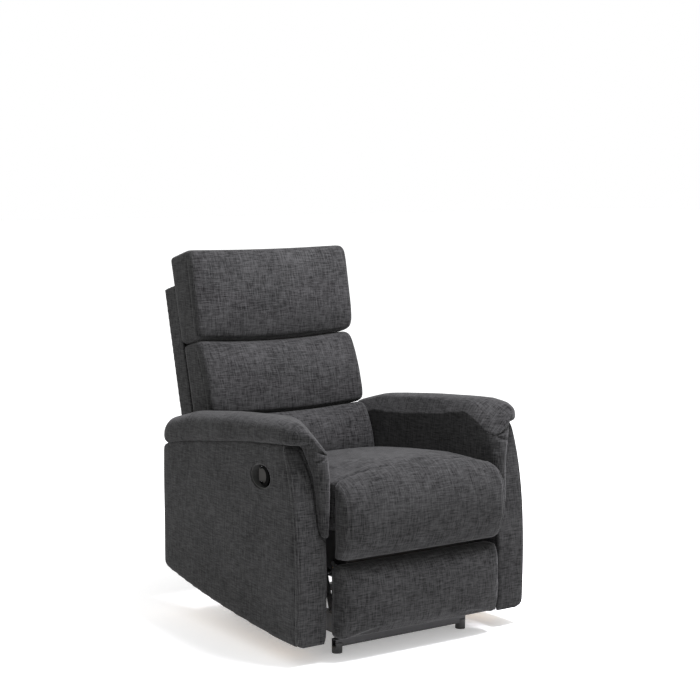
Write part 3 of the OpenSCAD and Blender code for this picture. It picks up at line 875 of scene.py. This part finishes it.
def footrest_section(x):
    crown = 0.005 * across_crown(x)
    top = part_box("footrest_pad")[1][2]
    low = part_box("footrest_pad")[0][2]
    front = bezier([-0.424, top], [-0.452 - crown, 0.225], [-0.454 - crown, 0.100], [-0.426, low], 24)
    return resample(np.vstack([[[FOOT_REAR, top - 0.003]], front, [[FOOT_REAR, low + 0.003]]]), 100)


def make_footrest_pad():
    pad = bolster("footrest_soft", footrest_section, -SEAT_HALF, SEAT_HALF, 0.014)
    remesh(pad, REMESH_SOFT)
    relax(pad, 0.5, 4)
    inflate(pad, 2.5, 0.004, held=lambda p: p[:, 1] > -0.405)
    points = points_of(pad)
    points[:, 0] = np.clip(points[:, 0], -0.2605, 0.2605)
    points[:, 1] = np.where(points[:, 1] > FOOT_REAR - 0.007, FOOT_REAR, points[:, 1])
    points[:, 2] = np.clip(points[:, 2], 0.0555, 0.2515)
    move_points(pad, points)
    subdivide(pad)
    finish_soft(pad, "footrest", ["footrest_pad"])


# ------------------------------------------------------------------ backrest

BACK_HALF = 0.2625
PILLOW_HALF = {"headrest": 0.2665, "middle_pillow": BACK_HALF, "lumbar_pillow": BACK_HALF}
# Side view of each pillow's front, [v, w] from its lower seam to its upper one
PILLOW_FRONTS = {
    "headrest": [[0.010, 0.4525], [-0.010, 0.457], [-0.024, 0.478], [-0.031, 0.520], [-0.036, 0.590],
                 [-0.040, 0.660], [-0.038, 0.690], [-0.027, 0.704], [-0.006, 0.709]],
    "middle_pillow": [[-0.014, 0.2335], [-0.029, 0.240], [-0.034, 0.270], [-0.033, 0.330], [-0.027, 0.380],
                      [-0.018, 0.420], [-0.008, 0.441], [0.010, 0.4505]],
    "lumbar_pillow": [[-0.040, 0.072], [-0.050, 0.090], [-0.052, 0.130], [-0.046, 0.180], [-0.036, 0.215],
                      [-0.020, 0.2325]],
}
# How far the lower and upper seam sag in the middle
SEAM_SAG = {"headrest": (0.012, 0.004), "middle_pillow": (0.010, 0.012), "lumbar_pillow": (0.0, 0.010)}


def pillow_section(x, node):
    front = np.array(PILLOW_FRONTS[node])
    low, high = SEAM_SAG[node]
    crown = 1 - (x / BACK_HALF) ** 2
    along = (front[:, 1] - front[0, 1]) / (front[-1, 1] - front[0, 1])
    w = front[:, 1] - crown * (low + (high - low) * along)
    belly = np.sin(math.pi * np.clip(along, 0, 1)) * 0.007 * across_crown(x, 4.0)
    v = front[:, 0] - belly
    outline = np.vstack([[[PILLOW_REAR, w[0]]], np.column_stack([v, w]), [[PILLOW_REAR, w[-1]]]])
    return resample(back_yz(outline[:, 0], outline[:, 1]), 130)


def make_pillow(name, node, edge):
    half = PILLOW_HALF[node]
    pillow = bolster(name, lambda x: pillow_section(x, node), -half, half, edge, 20, 8)
    remesh(pillow, REMESH_SOFT)
    relax(pillow, 0.5, 6)
    w0, w1 = PILLOW_FRONTS[node][0][1], PILLOW_FRONTS[node][-1][1]

    def sewn(points):
        v, w = back_vw(points)
        ends = (w < w0 + 0.004) | (w > w1 - 0.014)
        return (v > 0.005) | ends | (np.abs(points[:, 0]) > half - 0.006)

    inflate(pillow, 4.0, 0.007, held=sewn)
    points = points_of(pillow)
    v, w = back_vw(points)
    points[:, 1:] = back_yz(np.minimum(v, PILLOW_REAR), w)
    points[:, 0] = np.clip(points[:, 0], -half, half)
    move_points(pillow, points)
    subdivide(pillow)
    gusset = shrink(pillow_section(half, node), 0.030)
    v, w = back_vw(across(gusset, 0))
    gusset = gusset[v < PILLOW_REAR - 0.035]
    press(pillow, [across(gusset, k * half) for k in (1, -1)], 0.0015, 0.003)
    finish_soft(pillow, "backrest", [node])


SHELL_HALF = 0.261


def make_back_shell():
    """Hard-padded outer back: rear panel, top and two side skirts."""
    wall, foot, skirt, top = 0.010, -0.060, 0.020, 0.627
    inner = SHELL_REAR - 0.018
    hood = [[SHELL_REAR, foot], [SHELL_REAR + 0.004, 0.3], [SHELL_REAR, top], [SHELL_FRONT, top],
            [SHELL_FRONT, top - wall], [inner, top - wall], [inner, foot]]
    side = [[SHELL_FRONT, skirt], [SHELL_REAR - 0.002, skirt], [SHELL_REAR - 0.002, top - 0.002],
            [SHELL_FRONT, top - 0.002]]
    pieces = []
    for name, outline, x0, x1 in (("back_shell_soft", hood, -SHELL_HALF, SHELL_HALF),
                                  ("skirt_left", side, SHELL_HALF - wall, SHELL_HALF),
                                  ("skirt_right", side, -SHELL_HALF, -SHELL_HALF + wall)):
        outline = np.array(outline)
        ring = resample(back_yz(outline[:, 0], outline[:, 1]), 240)
        pieces.append(loft(name, [across(ring, x) for x in np.linspace(x0, x1, 12)]))
    shell = join(*pieces)
    remesh(shell, REMESH_FINE)
    relax(shell, 0.5, 6)
    subdivide(shell)
    finish_soft(shell, "backrest", ["back_shell"])


# ------------------------------------------------------------------ frame details

def soften_edges(node, width):
    """Rounds the sharp rims of a moulded piece that stays as the CAD made it."""
    bevel = frame["nodes"][node].modifiers.new("rim", "BEVEL")
    bevel.width = width
    bevel.segments = 3
    bevel.limit_method = "ANGLE"
    bevel.angle_limit = math.radians(40)


# ------------------------------------------------------------------ build

materials = make_materials()
paint_frame()
for arm, sign in SIDES.items():
    make_arm_cover(arm, sign)
    make_arm_facing(arm, sign)
    make_arm_pad(arm, sign)
make_seat_cushion()
make_front_roll()
make_footrest_pad()
make_pillow("headrest_soft", "headrest", 0.015)
make_pillow("middle_soft", "middle_pillow", 0.018)
make_pillow("lumbar_soft", "lumbar_pillow", 0.016)
soften_edges("latch_bezel", 0.001)
soften_edges("release_paddle", 0.0016)
make_back_shell()
add_studio()
add_camera()

scene.render.resolution_x = 700
scene.render.resolution_y = 700
scene.view_settings.view_transform = "Standard"
